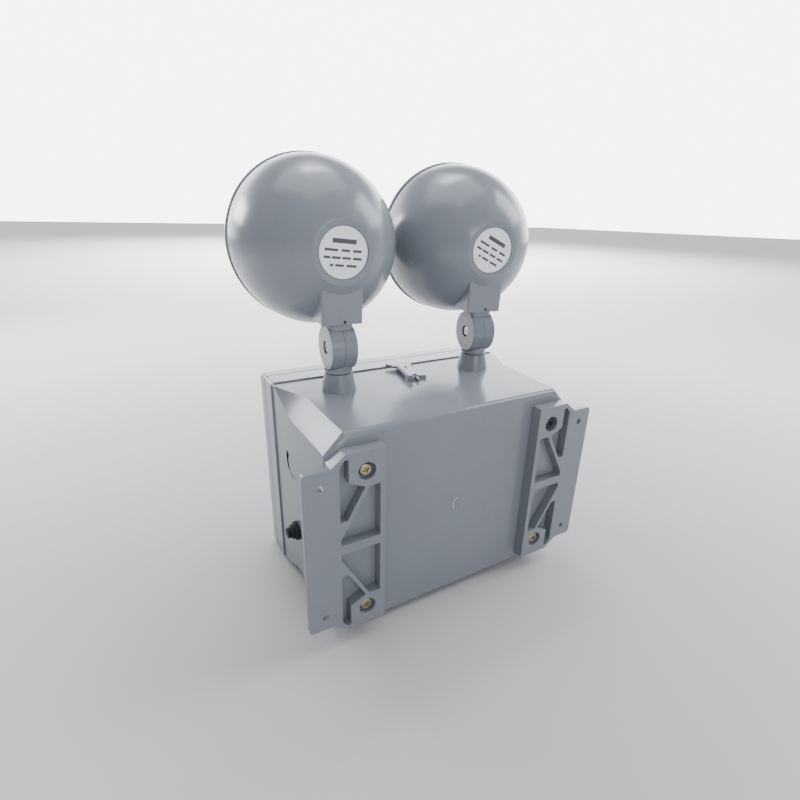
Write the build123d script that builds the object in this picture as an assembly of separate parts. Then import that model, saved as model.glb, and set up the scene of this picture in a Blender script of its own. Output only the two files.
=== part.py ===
from build123d import *
import os
from math import atan2, degrees, radians, sin, sqrt

# Twin-head emergency light in a gasketed grey plastic housing, made to be screwed to a wall.
# Frame: the wall is the plane y = 0, the light faces -Y, +X is to the right seen from the front,
# +Z is up, and the origin is the middle of the four wall holes. All sizes are in millimetres.

os.makedirs("parts", exist_ok=True)

# Clearances
SEAT = 0.05  # between a screw or pin and its hole, on the radius
RUN = 0.1  # running fit of a swivel spigot in its collar, on the radius
GAP = 0.3  # between faces of different moving bodies

# Wall brackets
BRACKET_T = 11.0  # thickness of the pocketed part, which holds the housing off the wall
EAR_T = 5.0
EAR_X = 146.0  # outer edge of the ears
EAR_HALF_H = 73.0
EAR_STEP_X = 124.0  # where the ear meets the pocketed part
BRACKET_X = 79.0  # inner edge
BRACKET_HALF_H = 82.0
BRACKET_SLANT_X = 112.5  # where the slanted corner reaches the top
EAR_CORNER_R = 4.0
WALL_HOLE_X = 132.0
WALL_HOLE_Z = 60.0
WALL_HOLE_R = 2.8
BRACKET_FLOOR = 2.0  # plastic left under the pockets
POCKET_WALL = 4.5  # between the pockets and the edges
POCKET_RIB = 3.0  # between two pockets
POCKET_OUT_X = 117.5
POCKET_STEM_X = 110.0  # inner edge of the upright part of an end pocket
POCKET_KNEE_Z = 58.0
POCKET_KNEE_X = 96.5
POCKET_KNEE_LOW_Z = 51.5
POCKET_FOOT_Z = 25.5
POCKET_FOOT_X = 111.5
POCKET_MID_Z = 4.0  # half height of the rib across the middle
BODY_SCREW_X = 95.0
BODY_SCREW_IN = 17.5  # below the top of the bracket
BODY_SCREW_Z = BRACKET_HALF_H - BODY_SCREW_IN
RECESS_R = 7.4
RECESS_DEPTH = 5.0
BODY_SCREW_R = 2.0
BODY_SCREW_HEAD_R = 5.5
BODY_SCREW_HEAD_H = 3.2
BODY_SCREW_L = 17.0
CROSS_W = 1.2  # width of a cross recess

# Housing
WALL = 3.0
BACK_Y = -BRACKET_T
PART_Y = -152.0  # parting plane, middle of the gasket
FLANGE_REAR_Y = -131.0
BODY_HALF_W = 127.4  # at the flange
BODY_HALF_H = 96.2
FLANGE_LIP_W = 1.6  # how far the flange stands out from the body
FLANGE_LIP_H = 1.3
FLANGE_HALF_W = BODY_HALF_W + FLANGE_LIP_W
FLANGE_HALF_H = BODY_HALF_H + FLANGE_LIP_H
FLANGE_R = 5.0
BACK_HALF_W = 123.6
BACK_HALF_H = 92.8
BACK_ROUND = 5.0
FACET_Y = -125.5  # the corner chamfers grow from here
CHAMFER_Y = -88.5  # and are full from here to the back
CHAMFER = 16.0
CHAMFER_START = 0.8
CORNER_BOSS_IN = 13.5  # corner bosses in from the edges of the flange
CORNER_BOSS_X = FLANGE_HALF_W - CORNER_BOSS_IN
CORNER_BOSS_Z = FLANGE_HALF_H - CORNER_BOSS_IN
CORNER_BOSS_R = 6.0
CORNER_BOSS_L = 24.0
BOSS_R = 5.5
BOSS_L = 12.0
RAIL_X = 48.0  # battery rails on the floor
RAIL_T = 4.0
RAIL_H = 3.8
RAIL_TOP_Z = -min(BACK_HALF_H, BODY_HALF_H) + WALL + RAIL_H

# Conduit entries on the +X side: a small one closed by a stepped rubber plug, and a larger knock-out
ENTRY_R = 6.5
ENTRY_Y = -84.0
ENTRY_Z = -32.3
PLUG_FLANGE_R = 8.7
PLUG_FLANGE_T = 3.2
PLUG_STEP_R = 6.8
PLUG_STEP_T = 3.4
PLUG_TIP_R = 4.8
PLUG_TIP_T = 4.0
PLUG_BARB = 1.4  # how far the plug's rim inside the wall reaches past its hole
PLUG_BARB_L = 3.0
KNOCKOUT_R = 15.0
KNOCKOUT_Y = -86.5
KNOCKOUT_Z = 36.5
KNOCKOUT_GROOVE = 1.9
KNOCKOUT_DEPTH = 1.6
KNOCKOUT_CHORD = 4.5  # the groove ends where it comes this close to the middle

# Collars and swivels
COLLAR_X = 75.4
COLLAR_Y = -99.0
TOP_FALL = (BODY_HALF_H - BACK_HALF_H) / (BACK_Y - FLANGE_REAR_Y)
TOP_AT_COLLAR = BODY_HALF_H - (COLLAR_Y - FLANGE_REAR_Y) * TOP_FALL  # top face at the collars
COLLAR_BASE_R = 16.4
COLLAR_TOP_R = 12.4
COLLAR_ROOT = 2.3  # how deep the cone starts in the wall
COLLAR_H = 15.4
COLLAR_BASE_Z = TOP_AT_COLLAR - COLLAR_ROOT
COLLAR_TOP_Z = TOP_AT_COLLAR + COLLAR_H
COLLAR_PAD_R = 15.0
COLLAR_PAD_T = 3.3  # thickening under the wall
COLLAR_PAD_Z = TOP_AT_COLLAR - WALL - COLLAR_PAD_T
SPIGOT_R = 7.8
WIRE_WAY_R = 3.5
SEAL_T = 0.8
SEAL_R = 11.4
NUT_T = 5.0
NUT_AF = 25.0  # across flats
PIVOT_RISE = 23.3  # tilt axis above the collar
PIVOT_Z = COLLAR_TOP_Z + PIVOT_RISE
KNUCKLE_R = 20.0
KNUCKLE_HALF_W = 11.5
STEM_R = 12.2
STUB_START = 6.0  # stub that carries the head, above the tilt axis
STUB_HALF_D = 11.0
STUB_CORNER_R = 6.0
PEG_R = 7.0
PEG_H = 6.0
PIVOT_SCREW_R = 3.0
PIVOT_HEAD_R = 5.4
PIVOT_HEAD_H = 3.6
PIVOT_SINK = 1.2  # head below the face of the knuckle
PIVOT_NUT_AF = 9.6
PIVOT_NUT_T = 4.6

# Lamp heads, with the sizes along the lamp axis counted back from the front of the rim
HEAD_RISE = 80.7  # lamp axis above the tilt axis
HEAD_FRONT = 83.6  # rim in front of the tilt axis
HEAD_R = 75.3
HEAD_DEPTH = 104.5
RIM_DEPTH = 7.5
DOME_POWER = 2.15  # 2 is an ellipse, more is squarer
DOME_WALL = 2.6
DOME_IN = 1.2  # dome's edge inside the rim's outer radius
LABEL_R = 20.1
LABEL_T = 0.4
LABEL_SINK = 1.0
LABEL_RIM = 0.8  # between the label and the edge of its recess
BOSS_FLAT_R = 25.8
BOSS_FLAT_DEPTH = 4.6  # flat seat in front of the pole
NECK_HALF_W = 18.0
NECK_REAR = 12.5  # behind the tilt axis
NECK_FRONT = 15.0
NECK_BOTTOM = 22.0  # above the tilt axis
NECK_TOP = 52.0
HEAD_SCREW_R = 1.3
HEAD_SCREW_UP = 2.4  # above the bottom of the neck block
HEAD_SCREW_SIDE = -2.0
HEAD_SCREW_SINK = 1.2
BEZEL_LIP = 7.0  # how far the bezel covers the lens
LENS_T = 2.5
LENS_CROWN = 3.0
LENS_IN = 5.0  # lens edge inside the dome's edge
LENS_STEP = 2.0  # flat of the lens inside the bezel
GASKET_T = 1.2
GASKET_IN = 0.8
GASKET_W = 4.0
REFLECTOR_R = 62.0
REFLECTOR_DEPTH = 46.0
REFLECTOR_T = 1.2
SOCKET_R = 9.0
SOCKET_L = 20.0
BULB_R = 5.5
RIGHT_PAN = -3.0
RIGHT_TILT = -2.7
LEFT_PAN = -8.5
LEFT_TILT = -3.3

# Front cover and what is in it
COVER_FRONT_Y = -170.0
COVER_EDGE_R = 4.0
COVER_WALL = 3.0
GASKET_INSET = 0.4
COVER_GASKET_T = 1.2
COVER_SCREW_R = 2.0
COVER_SCREW_HEAD_R = 3.8
COVER_SCREW_HEAD_H = 2.8
COVER_SCREW_SINK = 7.0
BUTTON_X = 78.0
BUTTON_Z = -58.0
BUTTON_R = 6.0
BUTTON_TRAVEL = 2.0
BUTTON_PROUD = 3.5
BUTTON_NUT_AF = 19.0
BUTTON_NUT_T = 2.4
SWITCH_R = 8.0
SWITCH_L = 18.0
INDICATOR_X = 98.0
INDICATOR_R = 2.5
INDICATOR_HEAD_R = 3.8

# Clip on the top face
CLIP_X = -1.5
CLIP_START = 1.5  # behind the flange
CLIP_LEFT = 16.0  # reach of the front edge to -X
CLIP_RIGHT = 13.5
CLIP_WAIST_X = 7.0
CLIP_WAIST_BACK = 13.0
CLIP_SIDE_X = 8.5
CLIP_SIDE_BACK = 16.5
CLIP_REAR_X = 1.5
CLIP_REAR_BACK = 39.0
CLIP_T = 2.0
CLIP_LIFT = 2.6
CLIP_FOOT_L = 9.0
CLIP_BAR_START = (3.0, 11.0)  # slanting bar on the tongue, across and back
CLIP_BAR_END = (9.0, 45.0)
CLIP_BAR_HALF_W = 2.7
CLIP_BAR_RISE = 1.5  # above the tongue
CLIP_FORK_BACK = 40.0
CLIP_PRONG_L = 11.0
CLIP_PRONG_W = 1.6
CLIP_SCREW_R = 1.2
CLIP_SCREW_X = -1.8
CLIP_SCREW_BACK = 16.0

# Battery and electronics
BATTERY_W = 148.0
BATTERY_D = 50.0
BATTERY_H = 94.0
BATTERY_X = 0.0
TAB_W = 4.8
TAB_H = 6.3
STRAP_W = 18.0
STRAP_T = 1.2
STRAP_Z = -40.0
STRAP_FOOT = 12.0
BAY_BOTTOM_Z = RAIL_TOP_Z + BATTERY_H + TAB_H  # space above the battery
BAY_TOP_Z = BACK_HALF_H - WALL
BAY_GAP = 4.5
BOARD_X = -38.0
BOARD_Z = (BAY_BOTTOM_Z + BAY_TOP_Z) / 2
BOARD_W = 96.0
BOARD_H = BAY_TOP_Z - BAY_BOTTOM_Z - 2 * BAY_GAP
BOARD_T = 1.6
POST_H = 8.0
POST_R = 3.4
POST_IN = 5.0  # posts in from the board's edges
BOARD_SCREW_R = 1.4
TRAFO_X = 52.0
TRAFO_Z = BOARD_Z
TRAFO_W = 48.0
TRAFO_H = 40.0
TRAFO_D = 36.0
TRAFO_PAD_H = 4.0


def facing(y):
    """Sketch plane across the light at depth y, with local x = X and local y = Z."""
    return Plane(origin=(0, y, 0), x_dir=(1, 0, 0), z_dir=(0, -1, 0))


def rod_y(x, z, y_front, y_back, r):
    """Round bar along Y from y_front to y_back."""
    return extrude(facing(y_back) * Pos(x, z) * Circle(r), y_back - y_front)


def rod_x(x_from, x_to, r):
    """Round bar along the X axis."""
    return Pos((x_from + x_to) / 2, 0, 0) * Rot(0, 90, 0) * Cylinder(r, x_to - x_from)


def rod_z(x, y, z_from, z_to, r):
    """Round bar along Z."""
    return Pos(x, y, (z_from + z_to) / 2) * Cylinder(r, z_to - z_from)


def slab(x0, x1, y0, y1, z0, z1):
    """Box between two corners."""
    return Pos((x0 + x1) / 2, (y0 + y1) / 2, (z0 + z1) / 2) * Box(x1 - x0, y1 - y0, z1 - z0)


def corners(x, z):
    return [(sx * x, sz * z) for sx in (-1, 1) for sz in (-1, 1)]


def save(name, *solids):
    """Write one node of the light as a STEP file."""
    shape = solids[0] if len(solids) == 1 else Compound(children=list(solids))
    if isinstance(shape, (Part, Compound)) and len(shape.solids()) == 1:
        shape = shape.solids()[0]
    shape.label = name
    export_step(shape, f"parts/{name}.step")


# Housing

def body_half(y, front, back):
    """Half width or height of the tapering body at depth y."""
    share = (y - FLANGE_REAR_Y) / (BACK_Y - FLANGE_REAR_Y)
    return front + (back - front) * share


def body_section(y, chamfer, inset):
    """Chamfered rectangle across the body, moved in by the wall when inset is given."""
    w = body_half(y, BODY_HALF_W, BACK_HALF_W) - inset
    h = body_half(y, BODY_HALF_H, BACK_HALF_H) - inset
    c = max(chamfer - inset * (2 - sqrt(2)), CHAMFER_START)
    outline = [(w - c, h), (w, h - c), (w, c - h), (w - c, -h), (c - w, -h), (-w, c - h), (-w, h - c), (c - w, h)]
    return facing(y) * make_face(Polyline(*outline, close=True))


def body_form(inset):
    """Tapering body behind the flange, whose corners turn into wide chamfers."""
    front = body_section(PART_Y, CHAMFER_START, inset)
    facet = body_section(FACET_Y, CHAMFER_START, inset)
    full = body_section(CHAMFER_Y, CHAMFER, inset)
    back = body_section(BACK_Y - inset, CHAMFER, inset)
    form = loft([front, facet], ruled=True) + loft([facet, full], ruled=True) + loft([full, back], ruled=True)
    rear_edges = form.edges().filter_by_position(Axis.Y, BACK_Y - inset - 0.01, BACK_Y - inset + 0.01)
    return fillet(rear_edges, max(BACK_ROUND - inset, 1.0))


def rim_block(y_front, y_back, half_w, half_h, r):
    return extrude(facing(y_back) * RectangleRounded(2 * half_w, 2 * half_h, r), y_back - y_front)


def housing():
    mouth_y = PART_Y + COVER_GASKET_T / 2
    rim = rim_block(mouth_y, FLANGE_REAR_Y, FLANGE_HALF_W, FLANGE_HALF_H, FLANGE_R)
    rim = fillet(rim.edges().filter_by_position(Axis.Y, FLANGE_REAR_Y - 0.01, FLANGE_REAR_Y + 0.01), 1.0)
    form = body_form(0) - slab(-200, 200, PART_Y - 1, mouth_y, -200, 200) + rim
    for side in (-1, 1):
        form += Pos(side * COLLAR_X, COLLAR_Y, (COLLAR_BASE_Z + COLLAR_TOP_Z) / 2) * Cone(
            COLLAR_BASE_R, COLLAR_TOP_R, COLLAR_TOP_Z - COLLAR_BASE_Z)
    shell = form - body_form(WALL)
    # posts and pads inside
    inner_back = BACK_Y - WALL
    floor_z = -max(TOP_AT_COLLAR, BACK_HALF_H) + WALL
    for side in (-1, 1):
        shell += rod_z(side * COLLAR_X, COLLAR_Y, COLLAR_PAD_Z, COLLAR_BASE_Z + 1, COLLAR_PAD_R)
        rail = slab(-RAIL_T / 2, RAIL_T / 2, inner_back - BATTERY_D - 6, inner_back + 1, floor_z - 1, RAIL_TOP_Z)
        shell += Pos(BATTERY_X + side * RAIL_X, 0, 0) * rail
    for x, z in corners(BODY_SCREW_X, BODY_SCREW_Z):
        shell += rod_y(x, z, inner_back - BOSS_L, inner_back + 1, BOSS_R)
    for x, z in corners(CORNER_BOSS_X, CORNER_BOSS_Z):
        boss = rod_y(x, z, mouth_y, mouth_y + CORNER_BOSS_L, CORNER_BOSS_R)
        web_x = slab(0, BODY_HALF_W - CORNER_BOSS_X - 1, mouth_y, mouth_y + CORNER_BOSS_L, -2, 2)
        web_z = slab(-2, 2, mouth_y, mouth_y + CORNER_BOSS_L, 0, BODY_HALF_H - CORNER_BOSS_Z - 1)
        turn_x = web_x if x > 0 else mirror(web_x, Plane.YZ)
        turn_z = web_z if z > 0 else mirror(web_z, Plane.XY)
        shell += boss + Pos(x, 0, z) * turn_x + Pos(x, 0, z) * turn_z
    for x, z in board_posts():
        shell += rod_y(x, z, inner_back - POST_H, inner_back + 1, POST_R)
    trafo_pad = rim_block(inner_back - TRAFO_PAD_H, inner_back + 1, TRAFO_W / 2, TRAFO_H / 2 - 6, 2)
    shell += Pos(TRAFO_X, 0, TRAFO_Z) * trafo_pad
    for x in strap_feet():
        shell += rod_y(x, STRAP_Z, inner_back - POST_H, inner_back + 1, POST_R)
    # holes
    for side in (-1, 1):
        shell -= rod_z(side * COLLAR_X, COLLAR_Y, COLLAR_PAD_Z - 1, COLLAR_TOP_Z + 1, SPIGOT_R + RUN)
    for x, z in corners(BODY_SCREW_X, BODY_SCREW_Z):
        shell -= rod_y(x, z, screw_tip_y() - 1, BACK_Y + 1, BODY_SCREW_R + SEAT)
    for x, z in corners(CORNER_BOSS_X, CORNER_BOSS_Z):
        shell -= rod_y(x, z, mouth_y - 1, cover_screw_tip_y() + 1, COVER_SCREW_R + SEAT)
    for x, z in board_posts():
        shell -= rod_y(x, z, inner_back - POST_H - 1, inner_back - 1.5, BOARD_SCREW_R + SEAT)
    for x in strap_feet():
        shell -= rod_y(x, STRAP_Z, inner_back - POST_H - 1, inner_back - 1.5, BOARD_SCREW_R + SEAT)
    shell -= side_frame(ENTRY_Y, ENTRY_Z) * Cylinder(ENTRY_R, 4 * WALL)
    shell -= knockout_groove()
    return shell - clip_screw_hole()


def side_frame(y, z):
    """Frame on the outside of the +X wall, with its own z square to the wall."""
    slope = degrees(atan2(BODY_HALF_W - BACK_HALF_W, BACK_Y - FLANGE_REAR_Y))
    return Pos(body_half(y, BODY_HALF_W, BACK_HALF_W), y, z) * Rot(0, 0, slope) * Rot(0, 90, 0)


def knockout_groove():
    """Open groove round the lower front of a knock-out conduit entry."""
    ring = Cylinder(KNOCKOUT_R, 2 * KNOCKOUT_DEPTH) - Cylinder(KNOCKOUT_R - KNOCKOUT_GROOVE, 3 * KNOCKOUT_DEPTH)
    half = Box(KNOCKOUT_R, 2 * KNOCKOUT_R, 3 * KNOCKOUT_DEPTH)
    kept = Rot(0, 0, -45) * Pos(KNOCKOUT_CHORD + KNOCKOUT_R / 2, 0, 0) * half
    return side_frame(KNOCKOUT_Y, KNOCKOUT_Z) * (ring & kept)


def board_posts():
    return [(BOARD_X + x, BOARD_Z + z) for x, z in corners(BOARD_W / 2 - POST_IN, BOARD_H / 2 - POST_IN)]


def strap_feet():
    reach = BATTERY_W / 2 + STRAP_T + STRAP_FOOT / 2
    return [BATTERY_X - reach, BATTERY_X + reach]


def screw_tip_y():
    return -RECESS_DEPTH - BODY_SCREW_L


def cover_screw_tip_y():
    return PART_Y + CORNER_BOSS_L - 6


def conduit_plug():
    """Stepped rubber plug in the small entry, held by a tapered rim inside the wall."""
    flange = Pos(0, 0, SEAT + PLUG_FLANGE_T / 2) * Cylinder(PLUG_FLANGE_R, PLUG_FLANGE_T)
    step = Pos(0, 0, PLUG_FLANGE_T + PLUG_STEP_T / 2) * Cylinder(PLUG_STEP_R, PLUG_STEP_T)
    tip = Pos(0, 0, PLUG_FLANGE_T + PLUG_STEP_T + PLUG_TIP_T / 2) * Cylinder(PLUG_TIP_R, PLUG_TIP_T)
    tip = fillet(tip.edges().group_by(Axis.Z)[-1], 1.0)
    neck_l = WALL + 2 * SEAT
    neck = Pos(0, 0, SEAT - neck_l / 2) * Cylinder(ENTRY_R - SEAT, neck_l)
    barb_z = SEAT - neck_l - PLUG_BARB_L / 2
    barb = Pos(0, 0, barb_z) * Cone(ENTRY_R - 1, ENTRY_R + PLUG_BARB, PLUG_BARB_L)
    return side_frame(ENTRY_Y, ENTRY_Z) * (flange + step + tip + neck + barb)


# Wall brackets

def end_pocket():
    top = BRACKET_HALF_H - POCKET_WALL
    outline = [(POCKET_STEM_X, top), (POCKET_STEM_X, POCKET_KNEE_Z), (POCKET_KNEE_X, POCKET_KNEE_LOW_Z),
               (POCKET_FOOT_X, POCKET_FOOT_Z), (POCKET_OUT_X, POCKET_FOOT_Z),
               (POCKET_OUT_X, EAR_HALF_H - 0.5), (POCKET_OUT_X - POCKET_WALL, top)]
    return make_face(Polyline(*outline, close=True))


def mid_pocket():
    """Triangle beside the end pocket, one rib's thickness from its slanted edge."""
    run_x = POCKET_FOOT_X - POCKET_KNEE_X
    run_z = POCKET_FOOT_Z - POCKET_KNEE_LOW_Z
    length = sqrt(run_x**2 + run_z**2)
    base_x = POCKET_KNEE_X + POCKET_RIB * run_z / length
    base_z = POCKET_KNEE_LOW_Z - POCKET_RIB * run_x / length
    slope = run_z / run_x
    left = BRACKET_X + POCKET_WALL
    top = POCKET_KNEE_LOW_Z
    outline = [(left, top), (left, POCKET_MID_Z), (POCKET_OUT_X, POCKET_MID_Z),
               (POCKET_OUT_X, base_z + slope * (POCKET_OUT_X - base_x)), (base_x + (top - base_z) / slope, top)]
    return make_face(Polyline(*outline, close=True))


def bracket(side):
    """Wall bracket: a pocketed pad with slanted corners and a thinner ear."""
    pad_outline = [(BRACKET_X, -BRACKET_HALF_H), (BRACKET_X, BRACKET_HALF_H), (BRACKET_SLANT_X, BRACKET_HALF_H),
                   (EAR_STEP_X, EAR_HALF_H), (EAR_STEP_X, -EAR_HALF_H), (BRACKET_SLANT_X, -BRACKET_HALF_H)]
    pad = extrude(facing(0) * make_face(Polyline(*pad_outline, close=True)), BRACKET_T)
    ear_face = facing(0) * Pos((EAR_STEP_X - 5 + EAR_X) / 2, 0) * Rectangle(EAR_X - EAR_STEP_X + 5, 2 * EAR_HALF_H)
    ear = extrude(ear_face, EAR_T)
    outer = ear.edges().filter_by(Axis.Y).group_by(Axis.X)[-1]
    form = pad + fillet(outer, EAR_CORNER_R)
    rims = form.edges().filter_by_position(Axis.Y, -0.01, 0.01).filter_by_position(Axis.X, EAR_X - 1, EAR_X + 1)
    form = chamfer(rims, 0.6)
    for flip in (-1, 1):
        for pocket in (end_pocket(), mid_pocket()):
            shape = pocket if flip > 0 else mirror(pocket, Plane.XZ)
            cut = extrude(facing(0) * shape, BRACKET_T - BRACKET_FLOOR)
            form -= fillet(cut.edges().filter_by(Axis.Y), 1.2)
        form -= rod_y(BODY_SCREW_X, flip * BODY_SCREW_Z, -RECESS_DEPTH, 1, RECESS_R)
        form -= rod_y(BODY_SCREW_X, flip * BODY_SCREW_Z, -BRACKET_T - 1, 1, BODY_SCREW_R + 4 * SEAT)
        form -= rod_y(WALL_HOLE_X, flip * WALL_HOLE_Z, -EAR_T - 1, 1, WALL_HOLE_R)
    return form if side > 0 else form.rotate(Axis.Y, 180)


def cross_recess(r, depth):
    """Cross-shaped driver recess, cut down from the plane z = 0."""
    blade = Pos(0, 0, -depth / 2) * Box(2 * r, CROSS_W, depth)
    return blade + Rot(0, 0, 90) * blade


def screw(r, length, head_r, head_h):
    """Domed cross-head screw along Z with the underside of its head at z = 0 and its tip below."""
    shank = Pos(0, 0, -length / 2) * Cylinder(r, length)
    shank = chamfer(shank.edges().group_by(Axis.Z)[0], r * 0.5)
    head = Pos(0, 0, head_h / 2) * Cylinder(head_r, head_h)
    head = fillet(head.edges().group_by(Axis.Z)[-1], head_h * 0.6)
    return shank + head - Pos(0, 0, head_h) * cross_recess(head_r * 0.5, head_h * 0.6)


def body_screw(x, z):
    one = screw(BODY_SCREW_R, BODY_SCREW_L, BODY_SCREW_HEAD_R, BODY_SCREW_HEAD_H)
    return Pos(x, -RECESS_DEPTH, z) * Rot(-90, 0, 0) * Rot(0, 0, 20) * one


# Front cover

def front_cover():
    y_back = PART_Y - COVER_GASKET_T / 2
    form = rim_block(COVER_FRONT_Y, y_back, FLANGE_HALF_W, FLANGE_HALF_H, FLANGE_R)
    front_edges = form.edges().filter_by_position(Axis.Y, COVER_FRONT_Y - 0.01, COVER_FRONT_Y + 0.01)
    form = fillet(front_edges, COVER_EDGE_R)
    inner_front = COVER_FRONT_Y + COVER_WALL
    form -= rim_block(inner_front, y_back + 1, FLANGE_HALF_W - COVER_WALL - 1.6, FLANGE_HALF_H - COVER_WALL - 1.6, 3)
    for x, z in corners(CORNER_BOSS_X, CORNER_BOSS_Z):
        form += rod_y(x, z, inner_front - 1, y_back, CORNER_BOSS_R)
    for x, z in corners(CORNER_BOSS_X, CORNER_BOSS_Z):
        sink = COVER_FRONT_Y + COVER_SCREW_SINK
        form -= rod_y(x, z, COVER_FRONT_Y - 1, sink, COVER_SCREW_HEAD_R + 4 * SEAT)
        form -= rod_y(x, z, COVER_FRONT_Y, y_back + 1, COVER_SCREW_R + 4 * SEAT)
    form -= rod_y(BUTTON_X, BUTTON_Z, COVER_FRONT_Y - 1, inner_front + 1, SWITCH_R - 1 + SEAT)
    form -= rod_y(INDICATOR_X, BUTTON_Z, COVER_FRONT_Y - 1, inner_front + 1, INDICATOR_R + SEAT)
    return form


def cover_gasket():
    half = COVER_GASKET_T / 2
    outer_w = FLANGE_HALF_W - GASKET_INSET
    outer_h = FLANGE_HALF_H - GASKET_INSET
    band = rim_block(PART_Y - half, PART_Y + half, outer_w, outer_h, FLANGE_R - GASKET_INSET)
    inner_w = FLANGE_HALF_W - COVER_WALL - 1.6
    inner_h = FLANGE_HALF_H - COVER_WALL - 1.6
    return band - rim_block(PART_Y - 1, PART_Y + 1, inner_w, inner_h, 3)


def cover_screws():
    sink = COVER_FRONT_Y + COVER_SCREW_SINK
    length = cover_screw_tip_y() - sink
    one = screw(COVER_SCREW_R, length, COVER_SCREW_HEAD_R, COVER_SCREW_HEAD_H)
    return [Pos(x, sink, z) * Rot(90, 0, 0) * one for x, z in corners(CORNER_BOSS_X, CORNER_BOSS_Z)]


def switch_body():
    """Push switch behind the cover, with a threaded neck through it and a bore for the button."""
    inner_front = COVER_FRONT_Y + COVER_WALL
    body = rod_y(BUTTON_X, BUTTON_Z, inner_front, inner_front + SWITCH_L, SWITCH_R)
    neck = rod_y(BUTTON_X, BUTTON_Z, COVER_FRONT_Y - BUTTON_NUT_T, inner_front + 1, SWITCH_R - 1)
    depth = inner_front + BUTTON_TRAVEL + 4
    form = body + neck - rod_y(BUTTON_X, BUTTON_Z, COVER_FRONT_Y - BUTTON_NUT_T - 1, depth, BUTTON_R + SEAT)
    for shift in (-4, 4):
        form += Pos(BUTTON_X + shift, inner_front + SWITCH_L + 2.5, BUTTON_Z) * Box(0.8, 7, 4)
    return form


def test_button():
    inner_front = COVER_FRONT_Y + COVER_WALL
    front = COVER_FRONT_Y - BUTTON_NUT_T - BUTTON_PROUD
    button = rod_y(BUTTON_X, BUTTON_Z, front, inner_front + 4 - GAP, BUTTON_R)
    return fillet(button.edges().group_by(Axis.Y)[0], 1.2)


def switch_nut():
    ring = extrude(facing(COVER_FRONT_Y) * Pos(BUTTON_X, BUTTON_Z) * RegularPolygon(
        BUTTON_NUT_AF / 2, 6, major_radius=False), BUTTON_NUT_T)
    return ring - rod_y(BUTTON_X, BUTTON_Z, COVER_FRONT_Y - 10, COVER_FRONT_Y + 1, SWITCH_R - 1 + SEAT)


def indicator_lens():
    stem = rod_y(INDICATOR_X, BUTTON_Z, COVER_FRONT_Y, COVER_FRONT_Y + COVER_WALL + 3, INDICATOR_R)
    head = rod_y(INDICATOR_X, BUTTON_Z, COVER_FRONT_Y - 2.2, COVER_FRONT_Y, INDICATOR_HEAD_R)
    return stem + fillet(head.edges().group_by(Axis.Y)[0], 1.4)


# Clip on the top face

def top_z(y):
    return body_half(y, BODY_HALF_H, BACK_HALF_H)


def top_slope():
    """Fall of the top face towards the back."""
    return Rot(-degrees(atan2(BODY_HALF_H - BACK_HALF_H, BACK_Y - FLANGE_REAR_Y)), 0, 0)


def clip_frame():
    """Place and slope of the clip, with local y running back from the flange."""
    return Pos(CLIP_X, FLANGE_REAR_Y, top_z(FLANGE_REAR_Y)) * top_slope()


def clip_bar():
    """Slanting bar that runs back over the tongue and stands on the top face behind it."""
    run_x = CLIP_BAR_END[0] - CLIP_BAR_START[0]
    run_y = CLIP_BAR_END[1] - CLIP_BAR_START[1]
    high = CLIP_LIFT + CLIP_T + CLIP_BAR_RISE
    bar = slab(-CLIP_BAR_HALF_W, CLIP_BAR_HALF_W, 0, sqrt(run_x**2 + run_y**2), CLIP_LIFT, high)
    bar = chamfer(bar.edges().group_by(Axis.Z)[-1], 0.6)
    leg = slab(-CLIP_BAR_HALF_W, CLIP_BAR_HALF_W, run_y - CLIP_FOOT_L, run_y, 0, CLIP_LIFT + 1)
    return Pos(*CLIP_BAR_START, 0) * Rot(0, 0, -degrees(atan2(run_x, run_y))) * (bar + leg)


def top_clip():
    """Tongue that stands off the top face on a foot, narrowing to the back, with a bar and a small fork."""
    plan = make_face(Polyline((-CLIP_LEFT, CLIP_START), (CLIP_RIGHT, CLIP_START), (CLIP_WAIST_X, CLIP_WAIST_BACK),
                              (CLIP_WAIST_X, CLIP_REAR_BACK), (-CLIP_REAR_X, CLIP_REAR_BACK),
                              (-CLIP_SIDE_X, CLIP_SIDE_BACK), close=True))
    plate = Pos(0, 0, CLIP_LIFT) * extrude(plan, CLIP_T)
    plate = chamfer(plate.edges().group_by(Axis.Z)[-1], 0.5)
    foot = slab(-CLIP_LEFT + 2, 0, CLIP_START, CLIP_FOOT_L, 0, CLIP_LIFT + 0.5)
    post = rod_z(CLIP_SCREW_X, CLIP_SCREW_BACK, 0, CLIP_LIFT + 0.5, CLIP_SCREW_R + 2.2)
    clip = plate + foot + post + clip_bar()
    for turn in (68, -14):
        prong = slab(-CLIP_PRONG_W / 2, CLIP_PRONG_W / 2, 0, CLIP_PRONG_L, 0, CLIP_LIFT + 0.5)
        clip += Pos(0, CLIP_FORK_BACK - 2, 0) * Rot(0, 0, turn) * prong
    return clip_frame() * (clip - rod_z(CLIP_SCREW_X, CLIP_SCREW_BACK, -1, 12, CLIP_SCREW_R + SEAT))


def clip_screw_hole():
    return clip_frame() * rod_z(CLIP_SCREW_X, CLIP_SCREW_BACK, -WALL - 3, 1, CLIP_SCREW_R + SEAT)


def clip_screw():
    one = screw(CLIP_SCREW_R, CLIP_LIFT + CLIP_T + WALL, 1.9, 1.0)
    return clip_frame() * Pos(CLIP_SCREW_X, CLIP_SCREW_BACK, CLIP_LIFT + CLIP_T) * one


# Swivels, in a frame with its origin on the tilt axis over the collar

def pan_place(side):
    pan = RIGHT_PAN if side > 0 else LEFT_PAN
    return Pos(side * COLLAR_X, COLLAR_Y, PIVOT_Z) * Rot(0, 0, pan)


def head_place(side):
    tilt = RIGHT_TILT if side > 0 else LEFT_TILT
    return pan_place(side) * Rot(tilt, 0, 0)


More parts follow.
